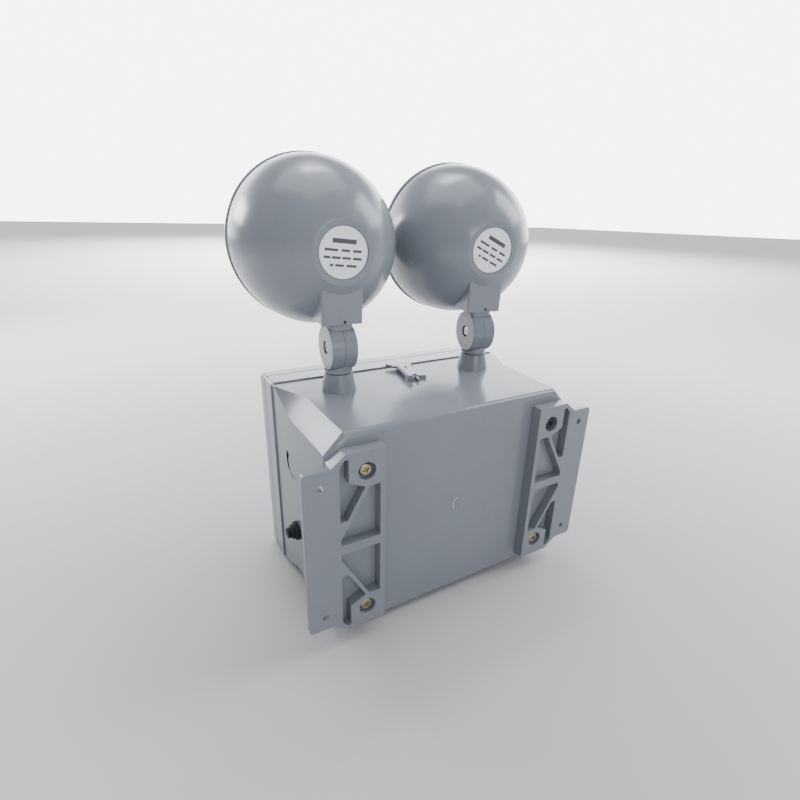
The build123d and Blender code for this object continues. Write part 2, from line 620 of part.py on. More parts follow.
def swivel_stem():
    """Lower half of the knuckle with its stem and the hollow spigot that turns in the collar."""
    base = COLLAR_TOP_Z - PIVOT_Z + SEAL_T + 0.1
    disc = rod_x(-KNUCKLE_HALF_W, -GAP / 2, KNUCKLE_R)
    stem = rod_z(0, 0, base, -6, STEM_R) & slab(-KNUCKLE_HALF_W, KNUCKLE_HALF_W, -30, 30, base, 0)
    foot = rod_z(0, 0, base, base + 2.5, STEM_R)
    form = disc + (stem + foot - rod_x(-GAP / 2, 30, KNUCKLE_R + GAP))
    form = fillet(form.edges().filter_by(GeomType.CIRCLE).filter_by_position(
        Axis.X, -KNUCKLE_HALF_W - 0.1, -KNUCKLE_HALF_W + 0.1), 1.0)
    spigot_end = COLLAR_PAD_Z - PIVOT_Z - NUT_T - 2
    form += rod_z(0, 0, spigot_end, base + 1, SPIGOT_R)
    form -= rod_z(0, 0, spigot_end - 1, -KNUCKLE_R + 4, WIRE_WAY_R)
    form -= rod_x(-30, 30, PIVOT_SCREW_R + SEAT)
    hex_pocket = Rot(0, -90, 0) * extrude(RegularPolygon(PIVOT_NUT_AF / 2 + SEAT, 6, major_radius=False), 20)
    return form - Pos(-KNUCKLE_HALF_W + PIVOT_NUT_T + 0.4, 0, 0) * hex_pocket


def swivel_seal():
    z = COLLAR_TOP_Z - PIVOT_Z
    return rod_z(0, 0, z, z + SEAL_T, SEAL_R) - rod_z(0, 0, z - 1, z + 2, SPIGOT_R + 2 * RUN)


def swivel_nut():
    top = COLLAR_PAD_Z - PIVOT_Z - GAP
    body = Pos(0, 0, top - NUT_T) * extrude(RegularPolygon(NUT_AF / 2, 6, major_radius=False), NUT_T)
    return body - rod_z(0, 0, top - NUT_T - 1, top + 1, SPIGOT_R + SEAT)


def pivot_screw():
    seat_x = KNUCKLE_HALF_W - PIVOT_SINK - PIVOT_HEAD_H
    length = seat_x + KNUCKLE_HALF_W - 1.0
    return Pos(seat_x, 0, 0) * Rot(0, 90, 0) * screw(PIVOT_SCREW_R, length, PIVOT_HEAD_R, PIVOT_HEAD_H)


def pivot_nut():
    x = -KNUCKLE_HALF_W + PIVOT_NUT_T + 0.3
    body = Rot(0, -90, 0) * extrude(RegularPolygon(PIVOT_NUT_AF / 2, 6, major_radius=False), PIVOT_NUT_T)
    return Pos(x, 0, 0) * body - rod_x(-30, 30, PIVOT_SCREW_R + SEAT)


def head_knuckle():
    """Upper half of the knuckle with the stub and peg that carry the lamp head."""
    disc = rod_x(GAP / 2, KNUCKLE_HALF_W, KNUCKLE_R)
    disc = fillet(disc.edges().group_by(Axis.X)[-1], 1.0)
    plan = RectangleRounded(2 * KNUCKLE_HALF_W - 1.0, 2 * STUB_HALF_D, STUB_CORNER_R)
    stub = Pos(0, 0, STUB_START) * extrude(plan, NECK_BOTTOM - STUB_START)
    form = disc + (stub - rod_x(-30, GAP / 2, KNUCKLE_R + GAP))
    form += rod_z(0, 0, NECK_BOTTOM - 1, NECK_BOTTOM + PEG_H, PEG_R)
    form -= rod_x(-30, 30, PIVOT_SCREW_R + 2 * SEAT)
    return form - rod_x(KNUCKLE_HALF_W - PIVOT_SINK - PIVOT_HEAD_H - SEAT, 30, PIVOT_HEAD_R + GAP)


# Lamp heads, in the same frame: the lamp axis lies HEAD_RISE above the tilt axis

def along_lamp(profile):
    """Turn a profile, drawn with x as the radius and y as the depth behind the rim, about the lamp axis."""
    return Pos(0, -HEAD_FRONT, HEAD_RISE) * revolve(profile, Axis.Y, 360)


def dome_curve(r, start, end, count=7):
    """Curve of the dome from its edge at depth start to its pole at depth end."""
    points = []
    for step in range(count + 1):
        share = sin(radians(90 * step / count))
        points.append((r * (1 - share**DOME_POWER) ** (1 / DOME_POWER), start + (end - start) * share))
    return Spline(*points, tangents=[(0, 1), (-1, 0)])


def dome_solid(r, start, end):
    curve = dome_curve(r, start, end)
    sides = Polyline((0, end), (0, start), (r, start))
    return along_lamp(make_face(curve + sides))


def ring_profile(points):
    return along_lamp(make_face(Polyline(*points, close=True)))


def head_shell():
    """Dome with its neck block, a flat round seat at the pole, and a step at the rim for the bezel."""
    outer_r = HEAD_R - DOME_IN
    outer = dome_solid(outer_r, RIM_DEPTH, HEAD_DEPTH)
    neck = slab(-NECK_HALF_W, NECK_HALF_W, -NECK_FRONT, NECK_REAR, NECK_BOTTOM, NECK_TOP)
    neck = fillet(neck.edges().filter_by(Axis.Z), 1.5)
    seat_y = HEAD_DEPTH - BOSS_FLAT_DEPTH - HEAD_FRONT
    seat = rod_y(0, HEAD_RISE, seat_y, seat_y + 20, BOSS_FLAT_R)
    recess = rod_y(0, HEAD_RISE, seat_y - LABEL_SINK, seat_y + 20, LABEL_R + LABEL_RIM)
    form = outer + neck - seat - recess
    inner = dome_solid(outer_r - DOME_WALL, RIM_DEPTH - 1, HEAD_DEPTH - BOSS_FLAT_DEPTH - DOME_WALL)
    form -= inner
    form -= rod_z(0, 0, NECK_BOTTOM - 1, NECK_BOTTOM + PEG_H + GAP, PEG_R + SEAT)
    return form - rod_y(HEAD_SCREW_SIDE, NECK_BOTTOM + HEAD_SCREW_UP, 0, NECK_REAR + 1, HEAD_SCREW_R + SEAT)


def neck_screw():
    """Small screw in the neck block that holds it on the knuckle's peg."""
    tip = PEG_R + 3 * SEAT
    return rod_y(HEAD_SCREW_SIDE, NECK_BOTTOM + HEAD_SCREW_UP, tip, NECK_REAR - HEAD_SCREW_SINK, HEAD_SCREW_R)


def label_disc():
    seat_y = HEAD_DEPTH - BOSS_FLAT_DEPTH - HEAD_FRONT - LABEL_SINK
    return rod_y(0, HEAD_RISE, seat_y, seat_y + LABEL_T, LABEL_R)


def head_gasket():
    outer = HEAD_R - DOME_IN - GASKET_IN
    inner = outer - GASKET_W
    return ring_profile([(outer, RIM_DEPTH), (outer, RIM_DEPTH - GASKET_T),
                         (inner, RIM_DEPTH - GASKET_T), (inner, RIM_DEPTH)])


def bezel_ring():
    """Front ring that clamps the lens against the gasket."""
    back = RIM_DEPTH - GASKET_T
    lens_r = HEAD_R - DOME_IN - LENS_IN
    lens_back = back - 0.1
    seat = lens_back - LENS_T
    outline = [(HEAD_R - 0.4, back), (HEAD_R, back - 1), (HEAD_R, 2.5), (HEAD_R - 2.2, 0.2), (HEAD_R - 5, 0),
               (lens_r - BEZEL_LIP + 1.5, 1.2), (lens_r - BEZEL_LIP, 2.0), (lens_r - BEZEL_LIP, seat),
               (lens_r + SEAT, seat), (lens_r + SEAT, back)]
    return ring_profile(outline)


def crown_rise(x, reach, rise):
    """Height at x of a round crown that is rise high in the middle and ends at reach."""
    r = (reach**2 + rise**2) / (2 * rise)
    return rise - r + sqrt(r**2 - x**2)


def lamp_lens():
    """Clear front disc with a slight crown."""
    r = HEAD_R - DOME_IN - LENS_IN
    back = RIM_DEPTH - GASKET_T - 0.1
    seat = back - LENS_T + SEAT
    lip = r - BEZEL_LIP - LENS_STEP
    middle = crown_rise(lip / 2, lip, LENS_CROWN)
    crown = ThreePointArc((lip, seat), (lip / 2, seat - middle), (0, seat - LENS_CROWN))
    under = ThreePointArc((0, back - LENS_CROWN), (lip / 2, back - middle), (lip, back))
    edges = crown + Line((0, seat - LENS_CROWN), (0, back - LENS_CROWN)) + under
    edges += Polyline((lip, back), (r, back), (r, seat), (lip, seat))
    return along_lamp(make_face(edges))


def reflector():
    """Thin bowl behind the lens, with a hole for the lamp socket."""
    front = RIM_DEPTH + 0.4
    outer_rim = HEAD_R - DOME_IN - DOME_WALL - 0.6
    end = front + REFLECTOR_DEPTH
    inner = ThreePointArc((REFLECTOR_R, front), (REFLECTOR_R * 0.72, front + REFLECTOR_DEPTH * 0.52), (SOCKET_R, end))
    t = REFLECTOR_T
    outer = ThreePointArc((SOCKET_R, end + t), (REFLECTOR_R * 0.72 + t, front + REFLECTOR_DEPTH * 0.52 + t),
                          (REFLECTOR_R + t, front + t))
    edges = inner + Line((SOCKET_R, end), (SOCKET_R, end + t)) + outer
    edges += Polyline((REFLECTOR_R + t, front + t), (outer_rim, front + t), (outer_rim, front), (REFLECTOR_R, front))
    return along_lamp(make_face(edges))


def lamp_socket():
    start = RIM_DEPTH + 0.4 + REFLECTOR_DEPTH
    outline = [(0, start - 3), (SOCKET_R - SEAT, start - 3), (SOCKET_R - SEAT, start + REFLECTOR_T),
               (SOCKET_R + 2.5, start + REFLECTOR_T), (SOCKET_R + 2.5, start + REFLECTOR_T + 3),
               (SOCKET_R, start + REFLECTOR_T + 3), (SOCKET_R, start + SOCKET_L), (0, start + SOCKET_L)]
    return ring_profile(outline)


def lamp_bulb():
    start = RIM_DEPTH + 0.4 + REFLECTOR_DEPTH - 3
    tip = start - 16
    envelope = Line((BULB_R - 1.5, start), (BULB_R - 1.5, start - 5))
    envelope += Line((BULB_R - 1.5, start - 5), (BULB_R, tip + BULB_R))
    envelope += RadiusArc((BULB_R, tip + BULB_R), (0, tip), BULB_R)
    envelope += Polyline((0, tip), (0, start), (BULB_R - 1.5, start))
    return along_lamp(make_face(envelope))


# Battery and electronics

def battery():
    back = BACK_Y - WALL
    case = Pos(BATTERY_X, back - GAP - BATTERY_D / 2, RAIL_TOP_Z + BATTERY_H / 2) * Box(BATTERY_W, BATTERY_D, BATTERY_H)
    case = fillet(case.edges().filter_by(Axis.Z), 2)
    top = RAIL_TOP_Z + BATTERY_H
    groove = Pos(BATTERY_X, back - GAP - BATTERY_D / 2, top - 14) * (
        Box(BATTERY_W + 2, BATTERY_D + 2, 0.8) - Box(BATTERY_W - 1.4, BATTERY_D - 1.4, 2))
    case -= groove
    for side in (-1, 1):
        x = BATTERY_X + side * (BATTERY_W / 2 - 16)
        case += Pos(x, back - GAP - 14, top + TAB_H / 2) * Box(TAB_W, 0.8, TAB_H)
    return case


def battery_strap():
    """Folded steel strap across the front of the battery, with a foot at each end."""
    back = BACK_Y - WALL
    foot_y = back - POST_H
    front = back - GAP - BATTERY_D - GAP / 3
    half = BATTERY_W / 2 + GAP / 3
    z0, z1 = STRAP_Z - STRAP_W / 2, STRAP_Z + STRAP_W / 2
    strap = slab(-half - STRAP_T, half + STRAP_T, front - STRAP_T, front, z0, z1)
    for side in (-1, 1):
        near, far = sorted((side * half, side * (half + STRAP_T)))
        strap += slab(near, far, front - STRAP_T, foot_y, z0, z1)
        near, far = sorted((side * half, side * (half + STRAP_T + STRAP_FOOT)))
        strap += slab(near, far, foot_y - STRAP_T, foot_y, z0, z1)
    strap = Pos(BATTERY_X, 0, 0) * strap
    for x in strap_feet():
        strap -= rod_y(x, STRAP_Z, foot_y - 5, foot_y + 5, BOARD_SCREW_R + 2 * SEAT)
    return strap


def small_screws(places, seat_y):
    one = screw(BOARD_SCREW_R, POST_H - 2, 2.8, 1.8)
    return [Pos(x, seat_y, z) * Rot(90, 0, 0) * one for x, z in places]


def charger_board():
    """Circuit board on four posts, with its larger components."""
    back = BACK_Y - WALL - POST_H
    board = slab(BOARD_X - BOARD_W / 2, BOARD_X + BOARD_W / 2, back - BOARD_T, back,
                 BOARD_Z - BOARD_H / 2, BOARD_Z + BOARD_H / 2)
    for x, z in board_posts():
        board -= rod_y(x, z, back - 5, back + 5, BOARD_SCREW_R + 2 * SEAT)
    face = back - BOARD_T
    # places and sizes across as shares of the board
    for x, z, r, tall in ((-0.27, 0.21, 8, 20), (-0.08, 0.21, 5, 13), (0.05, 0.24, 5, 13)):
        board += rod_y(BOARD_X + x * BOARD_W, BOARD_Z + z * BOARD_H, face - tall, face, r)
    relay = (0.15, 0.35, 0.06, 0.3, 15)
    heat_sink = (-0.35, -0.15, -0.36, -0.3, 22)
    plug_row = (0.08, 0.33, -0.39, -0.24, 8)
    chip = (-0.06, 0.02, -0.18, 0.03, 3)
    for x0, x1, z0, z1, tall in (relay, heat_sink, plug_row, chip):
        board += slab(BOARD_X + x0 * BOARD_W, BOARD_X + x1 * BOARD_W, face - tall, face,
                      BOARD_Z + z0 * BOARD_H, BOARD_Z + z1 * BOARD_H)
    return board


def transformer():
    """Laminated core with a wound bobbin through it."""
    back = BACK_Y - WALL - TRAFO_PAD_H
    core = slab(-TRAFO_W / 2, TRAFO_W / 2, back - TRAFO_D * 0.72, back - TRAFO_D * 0.28, -TRAFO_H / 2, TRAFO_H / 2)
    coil = slab(-TRAFO_W / 4 + 1, TRAFO_W / 4 - 1, back - TRAFO_D, back, -TRAFO_H / 2 + 7, TRAFO_H / 2 - 7)
    coil = fillet(coil.edges().filter_by(Axis.Z), 4)
    frame = slab(-TRAFO_W / 2 - 7, TRAFO_W / 2 + 7, back - 1.4, back, -9, 9)
    stays = slab(-TRAFO_W / 2 - 1.4, TRAFO_W / 2 + 1.4, back - TRAFO_D * 0.5, back, -9, 9)
    stays -= slab(-TRAFO_W / 2, TRAFO_W / 2, back - TRAFO_D, back - 1.4, -10, 10)
    return Pos(TRAFO_X, 0, TRAFO_Z) * (core + coil + frame + stays)


save("housing", housing())
save("front_cover", front_cover())
save("cover_gasket", cover_gasket())
save("cover_screws", *cover_screws())
save("conduit_plug", conduit_plug())
save("right_bracket", bracket(1))
save("left_bracket", bracket(-1))
save("right_bracket_screws", body_screw(BODY_SCREW_X, BODY_SCREW_Z), body_screw(BODY_SCREW_X, -BODY_SCREW_Z))
save("left_upper_bracket_screw", body_screw(-BODY_SCREW_X, BODY_SCREW_Z))
save("left_lower_bracket_screw", body_screw(-BODY_SCREW_X, -BODY_SCREW_Z))
save("top_clip", top_clip())
save("clip_screw", clip_screw())
save("switch_body", switch_body())
save("test_button", test_button())
save("switch_nut", switch_nut())
save("indicator_lens", indicator_lens())
save("battery", battery())
save("battery_strap", battery_strap())
save("strap_screws", *small_screws([(x, STRAP_Z) for x in strap_feet()], BACK_Y - WALL - POST_H - STRAP_T))
save("charger_board", charger_board())
save("board_screws", *small_screws(board_posts(), BACK_Y - WALL - POST_H - BOARD_T))
save("transformer", transformer())

for name, side in (("right", 1), ("left", -1)):
    pan = pan_place(side)
    save(f"{name}_swivel_seal", pan * swivel_seal())
    save(f"{name}_swivel_stem", pan * swivel_stem())
    save(f"{name}_swivel_nut", pan * swivel_nut())
    save(f"{name}_pivot_screw", pan * pivot_screw())
    save(f"{name}_pivot_nut", pan * pivot_nut())
    head = head_place(side)
    save(f"{name}_head_knuckle", head * head_knuckle())
    save(f"{name}_head_shell", head * head_shell())
    save(f"{name}_neck_screw", head * neck_screw())
    save(f"{name}_label", head * label_disc())
    save(f"{name}_head_gasket", head * head_gasket())
    save(f"{name}_bezel", head * bezel_ring())
    save(f"{name}_lens", head * lamp_lens())
    save(f"{name}_reflector", head * reflector())
    save(f"{name}_lamp_socket", head * lamp_socket())
    save(f"{name}_bulb", head * lamp_bulb())
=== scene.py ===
from math import atan2, copysign, cos, pi, radians, sin

import bmesh
import bpy
from mathutils import Matrix, Vector
from mathutils.bvhtree import BVHTree


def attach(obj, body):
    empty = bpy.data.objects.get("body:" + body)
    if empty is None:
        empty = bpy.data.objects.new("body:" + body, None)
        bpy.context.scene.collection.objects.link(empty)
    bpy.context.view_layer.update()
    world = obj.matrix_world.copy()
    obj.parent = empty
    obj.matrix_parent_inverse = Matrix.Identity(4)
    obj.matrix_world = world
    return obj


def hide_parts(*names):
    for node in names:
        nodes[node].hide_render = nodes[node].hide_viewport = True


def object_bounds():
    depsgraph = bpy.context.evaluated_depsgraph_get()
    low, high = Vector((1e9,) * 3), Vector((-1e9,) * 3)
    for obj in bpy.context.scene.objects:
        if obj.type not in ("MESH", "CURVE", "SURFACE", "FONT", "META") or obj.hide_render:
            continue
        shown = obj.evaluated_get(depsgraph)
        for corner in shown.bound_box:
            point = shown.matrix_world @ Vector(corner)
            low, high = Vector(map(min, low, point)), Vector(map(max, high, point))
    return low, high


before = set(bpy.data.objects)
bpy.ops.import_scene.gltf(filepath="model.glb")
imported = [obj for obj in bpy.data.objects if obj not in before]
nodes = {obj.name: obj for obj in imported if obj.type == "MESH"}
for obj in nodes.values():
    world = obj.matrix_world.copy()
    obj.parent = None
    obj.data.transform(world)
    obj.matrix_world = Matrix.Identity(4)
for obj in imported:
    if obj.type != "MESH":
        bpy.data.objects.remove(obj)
cad_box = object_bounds()


# Studio: the camera stands behind the light, high and to its right, where the photo was taken.
# The light rests on the lower rim of its box, on a pale floor with a painted shade around it, under broad
# soft lamps.

camera_data = bpy.data.cameras.new("camera")
camera_data.sensor_width = 36.0
camera_data.lens = 21.48
camera_data.clip_start = 0.01
camera_data.clip_end = 60.0
camera = bpy.data.objects.new("camera", camera_data)
camera.location = (0.2313, 0.2811, 0.2430)
camera.rotation_euler = (radians(68.75), radians(-1.31), radians(150.43))
bpy.context.scene.collection.objects.link(camera)
bpy.context.scene.camera = camera


def blank_surface(name):
    """A new material, with its node tree, its shader and the object's own coordinates."""
    material = bpy.data.materials.new(name)
    material.use_nodes = True
    tree = material.node_tree
    place = tree.nodes.new("ShaderNodeTexCoord").outputs["Object"]
    return material, tree, tree.nodes["Principled BSDF"], place


def two_tones(tree, amount, dark, light, first=0.0, last=1.0):
    """A colour that runs from dark to light as the amount goes from first to last."""
    tint = tree.nodes.new("ShaderNodeValToRGB")
    tint.color_ramp.elements[0].position = first
    tint.color_ramp.elements[0].color = (*dark, 1)
    tint.color_ramp.elements[1].position = last
    tint.color_ramp.elements[1].color = (*light, 1)
    tree.links.new(amount, tint.inputs["Fac"])
    return tint.outputs["Color"]


def stretched(tree, amount, low, high, first=0.0, last=1.0, easing="LINEAR"):
    """A value that runs from low to high as the amount goes from first to last."""
    reach = tree.nodes.new("ShaderNodeMapRange")
    reach.interpolation_type = easing
    reach.inputs["From Min"].default_value = first
    reach.inputs["From Max"].default_value = last
    reach.inputs["To Min"].default_value = low
    reach.inputs["To Max"].default_value = high
    tree.links.new(amount, reach.inputs["Value"])
    return reach.outputs["Result"]


# The floor carries a painted shade: its colour is mid grey under the light and grows paler away from it.
floor_size = 14.0
below_light = 0.0005
floor_material, floor_tree, floor_shader, floor_place = blank_surface("studio_floor")
floor_reach = floor_tree.nodes.new("ShaderNodeVectorMath")
floor_reach.operation = "LENGTH"
floor_tree.links.new(floor_place, floor_reach.inputs[0])
# Painted shade: the floor's colour is darkest near the middle and pales out to about 1 m from it.
floor_painted_shade = two_tones(floor_tree, floor_reach.outputs["Value"], (0.5, 0.5, 0.5), (0.86, 0.86, 0.86), 0.25)
floor_tree.links.new(floor_painted_shade, floor_shader.inputs["Base Color"])
floor_shader.inputs["Roughness"].default_value = 0.9
floor_shader.inputs["Specular IOR Level"].default_value = 0.1
floor_mesh = bmesh.new()
bmesh.ops.create_grid(floor_mesh, x_segments=1, y_segments=1, size=floor_size)
bmesh.ops.translate(floor_mesh, verts=floor_mesh.verts, vec=(0, 0, cad_box[0][2] - below_light))
floor_data = bpy.data.meshes.new("floor")
floor_mesh.to_mesh(floor_data)
floor_mesh.free()
floor_data.materials.append(floor_material)
floor = bpy.data.objects.new("floor", floor_data)
bpy.context.scene.collection.objects.link(floor)

# A broad bright wall stands low beyond the light, and the rest of the room is an even, dimmer grey.
world = bpy.data.worlds.new("studio")
world.use_nodes = True
sky = world.node_tree
look = sky.nodes.new("ShaderNodeTexCoord").outputs["Generated"]
height = sky.nodes.new("ShaderNodeSeparateXYZ")
sky.links.new(look, height.inputs["Vector"])
wall_way = Vector((-0.53, -0.84, 0.14))
wall_strength = 6.4
toward = sky.nodes.new("ShaderNodeVectorMath")
toward.operation = "DOT_PRODUCT"
toward.inputs[1].default_value = wall_way.normalized()
sky.links.new(look, toward.inputs[0])
beyond = stretched(sky, toward.outputs["Value"], 0.0, 1.0, 0.28, 0.78, "SMOOTHSTEP")
below = stretched(sky, height.outputs["Z"], 0.0, wall_strength, 0.56, 0.3, "SMOOTHSTEP")
bright_wall = sky.nodes.new("ShaderNodeMath")
bright_wall.operation = "MULTIPLY_ADD"
sky.links.new(beyond, bright_wall.inputs[0])
sky.links.new(below, bright_wall.inputs[1])
sky.links.new(stretched(sky, height.outputs["Z"], 0.42, 0.55, 0.1, 0.9), bright_wall.inputs[2])
sky.nodes["Background"].inputs["Color"].default_value = (0.93, 0.96, 1.0, 1)
sky.links.new(bright_wall.outputs["Value"], sky.nodes["Background"].inputs["Strength"])
bpy.context.scene.world = world


def soft_lamp(name, place, aim, width, height, power, colour, spread=pi):
    """A rectangular lamp that shines from its place toward its aim."""
    lamp = bpy.data.lights.new(name, "AREA")
    lamp.shape = "RECTANGLE"
    lamp.size = width
    lamp.size_y = height
    lamp.energy = power
    lamp.color = colour
    lamp.spread = spread
    lamp_object = bpy.data.objects.new(name, lamp)
    lamp_object.location = place
    lamp_object.rotation_euler = (Vector(aim) - Vector(place)).to_track_quat("-Z", "Y").to_euler()
    bpy.context.scene.collection.objects.link(lamp_object)


soft_lamp("overhead", (0.1, -0.4, 1.7), (0, -0.1, 0.1), 1.5, 1.5, 17, (1.0, 0.99, 0.97))
soft_lamp("side_window", (-1.4, 0.2, 1.2), (0, -0.1, 0.15), 0.8, 1.0, 20, (0.94, 0.97, 1.0))
soft_lamp("room_fill", (0.1, 1.4, 0.6), (0, -0.1, 0.05), 0.9, 0.6, 9, (0.95, 0.97, 1.0))
soft_lamp("edge_light", (0.84, -1.38, 0.62), (0.12, -0.05, 0.09), 0.45, 0.3, 9, (0.97, 0.98, 1.0))
soft_lamp("floor_wash", (-1.8, -3.7, 4.0), (-1.8, -3.701, 0.0), 4.0, 4.0, 320, (0.98, 0.99, 1.0),
          spread=radians(70))


# Box: one injection moulding of light grey thermoplastic, open at the front. It tapers to the back,
# with wide slanted corners, a gate mark in the middle of its back and a satin, slightly wavy skin.


def cloudy(tree, place, scale, detail):
    """Soft irregular clouds, finer as the scale grows."""
    clouds = tree.nodes.new("ShaderNodeTexNoise")
    clouds.inputs["Scale"].default_value = scale
    clouds.inputs["Detail"].default_value = detail
    tree.links.new(place, clouds.inputs["Vector"])
    return clouds


def raised(tree, relief, strength, depth, under=None):
    """The bumps of a relief, laid over another bumpy surface where one is given."""
    bump = tree.nodes.new("ShaderNodeBump")
    bump.inputs["Strength"].default_value = strength
    bump.inputs["Distance"].default_value = depth
    tree.links.new(relief, bump.inputs["Height"])
    if under is not None:
        tree.links.new(under, bump.inputs["Normal"])
    return bump.outputs["Normal"]


def moulded_plastic(name, colour, roughness, grain=0.06, streaks=0.05, gloss=0.5):
    """Moulded plastic: faint flow streaks in colour and gloss, a fine skin texture and shallow waves."""
    material, tree, shader, place = blank_surface(name)
    flow = cloudy(tree, place, 9.0, 4.0)
    flow.inputs["Roughness"].default_value = 0.6
    flow.inputs["Distortion"].default_value = 0.6
    darker = [c * (1 - streaks) for c in colour]
    lighter = [min(c * (1 + streaks), 1) for c in colour]
    dust = tree.nodes.new("ShaderNodeMix")
    dust.data_type = "RGBA"
    dust.blend_type = "SOFT_LIGHT"
    dust.inputs["Factor"].default_value = 0.06
    tree.links.new(two_tones(tree, flow.outputs["Fac"], darker, lighter, 0.3, 0.7), dust.inputs["A"])
    tree.links.new(cloudy(tree, place, 420.0, 2.0).outputs["Fac"], dust.inputs["B"])
    tree.links.new(dust.outputs["Result"], shader.inputs["Base Color"])
    handled = stretched(tree, flow.outputs["Fac"], roughness - 0.05, roughness + 0.06, 0.25, 0.75)
    tree.links.new(handled, shader.inputs["Roughness"])
    waves = raised(tree, cloudy(tree, place, 22.0, 1.0).outputs["Fac"], 0.25, 0.0008)
    skin = raised(tree, cloudy(tree, place, 1500.0, 2.0).outputs["Fac"], grain, 0.0002, waves)
    tree.links.new(skin, shader.inputs["Normal"])
    shader.inputs["IOR"].default_value = 1.5
    shader.inputs["Specular IOR Level"].default_value = gloss
    return material


def flat_where_wide(mesh):
    """Surface directions that keep wide faces flat and turn only across the narrow faces of rounded edges."""
    same_side = cos(radians(40))
    mesh.faces.index_update()
    weighed = [face.normal * face.calc_area() for face in mesh.faces]
    directions = []
    for face in mesh.faces:
        for corner in face.loops:
            total = Vector((0, 0, 0))
            for other in corner.vert.link_faces:
                if other.normal.dot(face.normal) > same_side:
                    total += weighed[other.index]
            directions.append(total.normalized() if total.length > 0 else face.normal.copy())
    return directions


def finished(name, mesh, material, body, slot, *stands_for):
    """Turn a mesh into an object that rides on its body and stands for the plain solids named."""
    data = bpy.data.meshes.new(name)
    directions = flat_where_wide(mesh)
    mesh.to_mesh(data)
    mesh.free()
    data.normals_split_custom_set(directions)
    data.materials.append(material)
    piece = bpy.data.objects.new(name, data)
    bpy.context.scene.collection.objects.link(piece)
    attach(piece, body)
    if stands_for:
        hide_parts(*stands_for)


def smooth_but_sharp(mesh, sharp):
    """Shade every face smooth, and keep each edge crisp that turns by more than the sharp angle."""
    for face in mesh.faces:
        face.smooth = True
    for join in mesh.edges:
        join.smooth = not join.is_manifold or join.calc_face_angle(0) < sharp


def softened(node, edge):
    """The solid of that node with its joined faces shaded smooth and its sharp edges slightly rounded."""
    same_point = 2e-6
    same_plane = radians(0.6)
    sharp = radians(32)
    mesh = bmesh.new()
    mesh.from_mesh(nodes[node].data)
    bmesh.ops.remove_doubles(mesh, verts=mesh.verts, dist=same_point)
    bmesh.ops.dissolve_limit(mesh, angle_limit=same_plane, verts=mesh.verts, edges=mesh.edges)
    corners = [e for e in mesh.edges if e.is_manifold and e.calc_face_angle(0) > sharp]
    bmesh.ops.bevel(mesh, geom=corners, offset=edge, offset_type="OFFSET", affect="EDGES", segments=2,
                    profile=0.5, material=-1, clamp_overlap=True)
    bmesh.ops.triangulate(mesh, faces=mesh.faces)
    smooth_but_sharp(mesh, sharp)
    return mesh


box_grey = moulded_plastic("box_grey", (0.195, 0.212, 0.243), 0.19, gloss=0.4)
box = softened("housing", 0.0005)

# Under the rear of the box two low ridges, where its inner rails come through, are brought flush with it.
ridge_level = -0.0926
ridge_front = -0.03
ridge_inner = 0.0455
ridge_outer = 0.0505
beside_ridge = 0.043
below_box = -0.15
outside = BVHTree.FromBMesh(box)
for point in box.verts:
    spot = point.co
    if spot.z < ridge_level and spot.y > ridge_front and ridge_inner < abs(spot.x) < ridge_outer:
        beside = Vector((copysign(beside_ridge, spot.x), spot.y, below_box))
        flush = outside.ray_cast(beside, Vector((0, 0, 1)))[0]
        spot.z = max(spot.z, flush.z)
finished("box", box, box_grey, "base", "grey_plastic", "housing")

# The gate mark is two thin raised arcs, each with its centre, radius, first angle, sweep and half width.
back_plane = -0.011
arc_foot = back_plane - 0.0001
arc_crest = back_plane + 0.00014
pale_grey = moulded_plastic("pale_grey", (0.36, 0.38, 0.42), 0.45)
scar = bmesh.new()
for middle_x, middle_z, reach, start, sweep, half in ((-0.0024, 0.0008, 0.0067, 74, -112, 0.0006),
                                                      (-0.0044, -0.0020, 0.0068, -42, -14, 0.0005)):
    across = cos(radians(start))
    up = sin(radians(start))
    outline = [(reach - half, arc_foot), (reach - half / 2, arc_crest), (reach + half / 2, arc_crest),
               (reach + half, arc_foot)]
    corners = [scar.verts.new((middle_x + r * across, y, middle_z + r * up)) for r, y in outline]
    strip = [scar.edges.new(pair) for pair in zip(corners, corners[1:] + corners[:1])]
    bmesh.ops.spin(scar, geom=corners + strip, cent=(middle_x, back_plane, middle_z), axis=(0, -1, 0),
                   angle=radians(sweep), steps=18)
bmesh.ops.holes_fill(scar, edges=[edge for edge in scar.edges if edge.is_boundary], sides=0)
bmesh.ops.recalc_face_normals(scar, faces=scar.faces)
finished("gate_mark", scar, pale_grey, "base", "grey_plastic")


# Brackets: two ribbed pads of the same grey plastic that hold the box off the wall, each with a thin
# ear for the wall screws and pockets that keep its walls even. Their edges are softly rounded.

for side in ("right", "left"):
    finished(f"{side}_wall_bracket", softened(f"{side}_bracket", 0.0004), box_grey, "base", "grey_plastic",
             f"{side}_bracket")


# Screws: pressed steel with cross recesses. Those of the brackets are yellow zinc-plated, but one has been
# changed for a black one. Those of the cover, strap, board and clip are bright zinc-plated.


